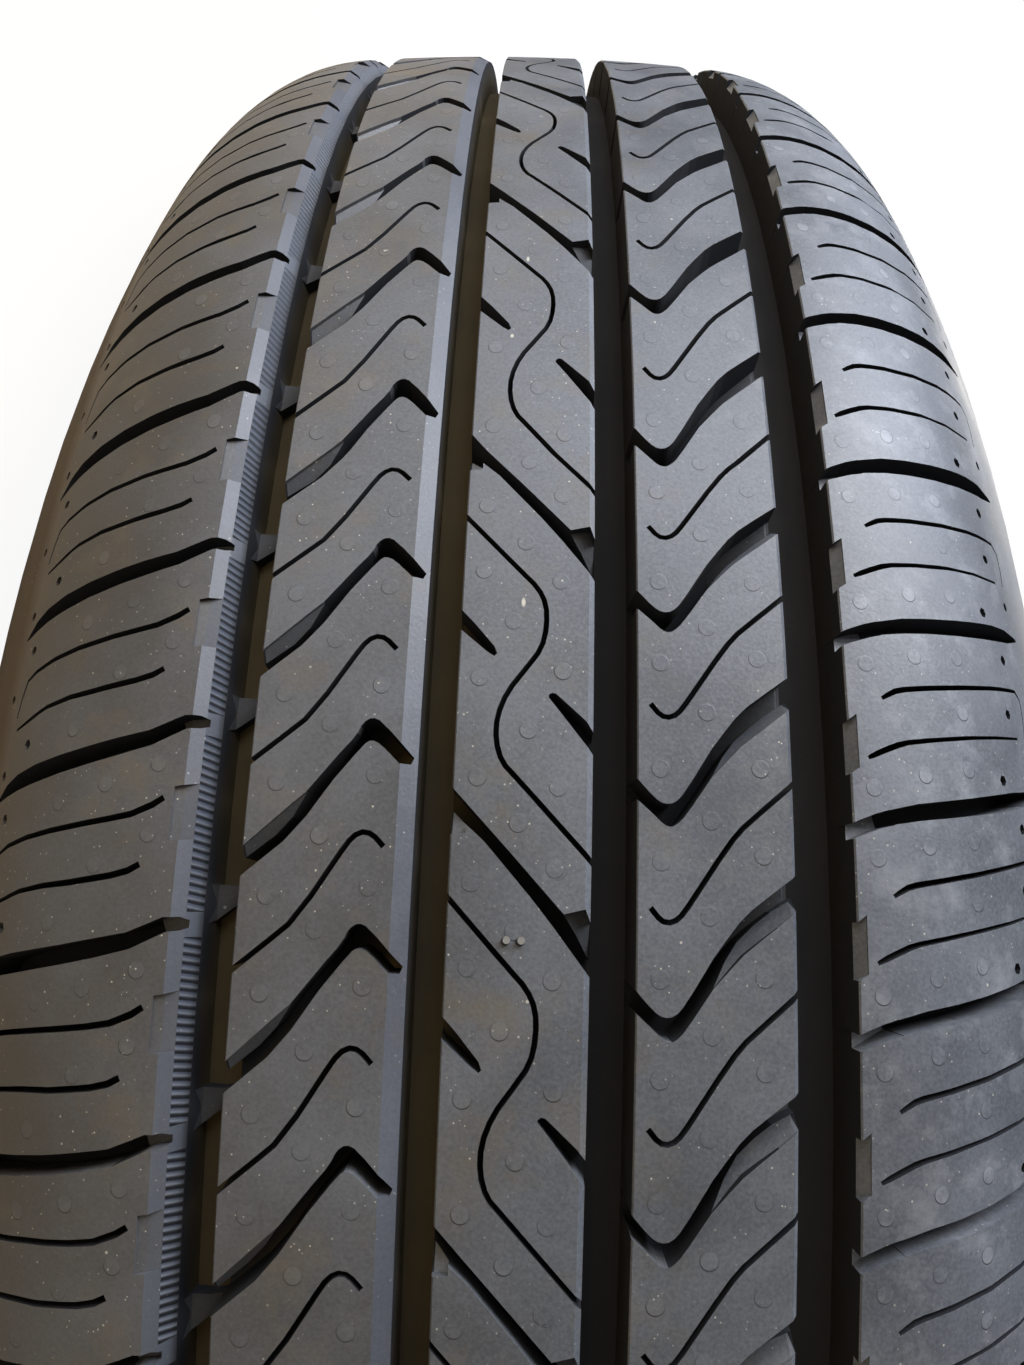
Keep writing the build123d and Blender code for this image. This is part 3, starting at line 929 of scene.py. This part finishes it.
def mouldedTreadRubber():
    # vulcanised rubber from a steel mould: satin grey under layers, each laid over the last by its share
    material, tree = newMaterial("mouldedTreadRubber")
    at = rubberInputs(tree)
    colour = linear(rubber["dark"])
    for makeLayers in (groundLayers, markLayers, crumbLayers, grooveLayers, barLayers):
        for share, name in makeLayers(tree, at):
            colour = addNode(tree, "Mix", {0: share, 6: colour, 7: linear(rubber[name])}, 2,
                             data_type="RGBA")

    disc = shareOf(tree, (at["away"], 0.96, 0.86, 0.0, 0.8))  # the raised disc of a vent's mark
    relief = addNode(tree, "Math", (at["grain"], disc), operation="ADD")
    bump = addNode(tree, "Bump", {"Strength": 0.35, "Distance": 0.1 * mm, "Height": relief})
    bump = addNode(tree, "Bump", {
        "Strength": 0.8, "Distance": 0.25 * mm, "Height": at["hatch"], "Normal": bump})
    satin = shareOf(tree, (at["cloud"], 0.3, 0.7, rubber["roughness"] - 0.06, rubber["roughness"] + 0.08))
    dull = shareOf(tree, at["soil"], rubber["soilRoughness"])
    dull = addNode(tree, "Math", (at["hidden"], dull), operation="MAXIMUM")
    rough = addNode(tree, "Math", (satin, dull), operation="MAXIMUM")
    tint = addNode(tree, "Mix", {0: at["hidden"], 6: (1, 1, 1, 1), 7: rubber["grooveShineShade"]}, 2,
                   data_type="RGBA")
    skin = addNode(tree, "BsdfPrincipled", {
        "Base Color": colour, "Roughness": rough, "IOR": 1.52, "Specular Tint": tint, "Normal": bump})
    addNode(tree, "OutputMaterial", {"Surface": skin})
    print("material: moulded tread rubber")
    return material


stageLook = {
    "floor": "#b8a688",
    "floorSize": 6.0,
    "white": (1, 1, 1, 1),
    "whiteLevel": 1.08,
    "whiteShare": (0.86, 1.0),  # how white the camera sees the floor, near the tyre and away
    "shadowReach": (0.36, 0.8),  # m from the wheel axis
    "mirrorShare": 0.05,  # the same for what shiny surfaces show
    "room": "#eef0f5",
    "skyLight": 0.19,
}


def buildStage():
    # pale floor; the world is plain soft light, and white where the camera looks past the tyre
    material, tree = newMaterial("paleFloor")
    toCamera = addNode(tree, "LightPath", output="Is Camera Ray")
    path = toCamera.node.outputs
    mirrored = addNode(tree, "Math", (path["Is Glossy Ray"], path["Is Transmission Ray"]),
                       operation="MAXIMUM")
    mirrored = shareOf(tree, mirrored, stageLook["mirrorShare"])
    place = addNode(tree, "TexCoord", output="Object")
    away = addNode(tree, "VectorMath", (place,), "Value", operation="LENGTH")
    seen = shareOf(tree, toCamera, (away, *stageLook["shadowReach"], *stageLook["whiteShare"]))
    share = addNode(tree, "Math", (seen, mirrored), operation="MAXIMUM")
    matt = addNode(tree, "BsdfDiffuse", {"Color": linear(stageLook["floor"])})
    white = addNode(tree, "Emission", {"Color": stageLook["white"], "Strength": stageLook["whiteLevel"]})
    mixed = addNode(tree, "MixShader", (share, matt, white))
    addNode(tree, "OutputMaterial", {"Surface": mixed})
    size = stageLook["floorSize"] / 2
    mesh = bpy.data.meshes.new("floor")
    corners = [(-size, -size, 0), (size, -size, 0), (size, size, 0), (-size, size, 0)]
    mesh.from_pydata(corners, [], [(0, 1, 2, 3)])
    mesh.materials.append(material)
    floor = bpy.data.objects.new("floor", mesh)
    bpy.context.collection.objects.link(floor)

    world = bpy.data.worlds.new("softRoom")
    bpy.context.scene.world = world
    world.use_nodes = True
    tree = world.node_tree
    tree.nodes.clear()
    toCamera = addNode(tree, "LightPath", output="Is Camera Ray")
    room = addNode(tree, "Background", {
        "Color": linear(stageLook["room"]), "Strength": stageLook["skyLight"]})
    back = addNode(tree, "Background", {"Color": stageLook["white"], "Strength": 1.0})
    mixed = addNode(tree, "MixShader", (toCamera, room, back))
    addNode(tree, "OutputWorld", {"Surface": mixed})
    print("stage: floor and room")


view = {
    "along": 97.2,  # mm along the tread to the middle of the view
    "distance": 428.2,  # mm from the wheel axis
    "turn": (11.89, 1.95, 0.26),  # degrees, as a rotation vector: across, radial, along
    "focal": 994.8,  # pixels
    "picture": (1024, 1365),
    "middle": (510.1, 682.1),  # pixel that the lens points at
}


def viewAxes():
    # directions across, outwards and along at the middle of the view: the picture's right, front and up
    angle = -view["along"] / outerRadius
    x = math.cos(angle)
    y = math.sin(angle)
    return np.array([(0.0, 0.0, 1.0), (x, y, 0.0), (y, -x, 0.0)])


def addCamera():
    axes = viewAxes()
    turn = np.radians(np.array(view["turn"]))
    size = np.linalg.norm(turn)
    x, y, z = turn / size
    cross = np.array([[0, -z, y], [z, 0, -x], [-y, x, 0]])
    rotation = np.eye(3) + math.sin(size) * cross + (1 - math.cos(size)) * cross @ cross
    right, back, up = rotation @ axes
    position = (axes[1] * view["distance"] + axes[0] * halfWidth) * mm
    data = bpy.data.cameras.new("camera")
    data.sensor_fit = "VERTICAL"
    data.sensor_height = 36.0
    wide, tall = view["picture"]
    data.lens = view["focal"] * data.sensor_height / tall
    data.shift_x = (wide / 2 - view["middle"][0]) / tall
    data.shift_y = (view["middle"][1] - tall / 2) / tall
    data.clip_start = 0.005
    camera = bpy.data.objects.new("camera", data)
    bpy.context.collection.objects.link(camera)
    camera.matrix_world = Matrix([*np.c_[right, up, back, position], (0, 0, 0, 1)])
    bpy.context.scene.camera = camera
    print("camera at", [round(float(p), 4) for p in position])


# Soft lamps: power in W, size in m, colour, and place in m across, outwards and along
lamps = {  # places from the tread at the middle of the view
    "overheadSoftbox": (42.5, 1.1, "#e0eaff", (1.2, 0.55, 1.15)),
    "rearSoftbox": (22.2, 0.8, "#f7f3ec", (1.0, 0.9, 1.0)),
    "forwardSoftbox": (10.0, 0.6, "#e8effd", (0.1, 0.72, 0.97)),
    "warmBounce": (0.2, 0.3, "#ffdfb8", (-0.06, 0.6, -0.1)),
}
backLamp = (18.0, 1.0, "#f7f3ec", (1.1, -1.3, 0.9))  # from the wheel axis on the floor


def addLamp(name, power, size, colour, position, target):
    # a square soft light that faces a point
    data = bpy.data.lights.new(name, "AREA")
    data.energy = power
    data.size = size
    data.color = linear(colour)[:3]
    lamp = bpy.data.objects.new(name, data)
    bpy.context.collection.objects.link(lamp)
    lamp.location = Vector(position)
    lamp.rotation_euler = (Vector(target) - Vector(position)).to_track_quat("-Z", "Y").to_euler()


def addLights():
    axes = viewAxes()
    middle = axes[0] * halfWidth * mm
    target = axes[1] * outerRadius * mm + middle
    for name, (power, size, colour, place) in lamps.items():
        addLamp(name, power, size, colour, target + np.array(place) @ axes, target)
    power, size, colour, place = backLamp
    for side in (-1, 1):  # these light the half that the photo doesn't show
        addLamp("backSoftbox", power, size, colour, (np.array(place) * [1, 1, side]) @ axes, middle)
    print("lights:", len(lamps) + 2, "soft lamps")


tyreBody = buildTyre()
tyreBody.data.materials.append(mouldedTreadRubber())
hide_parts("tyre")
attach(tyreBody, "root")
buildStage()
addCamera()
addLights()
bpy.context.scene.view_settings.view_transform = "Standard"
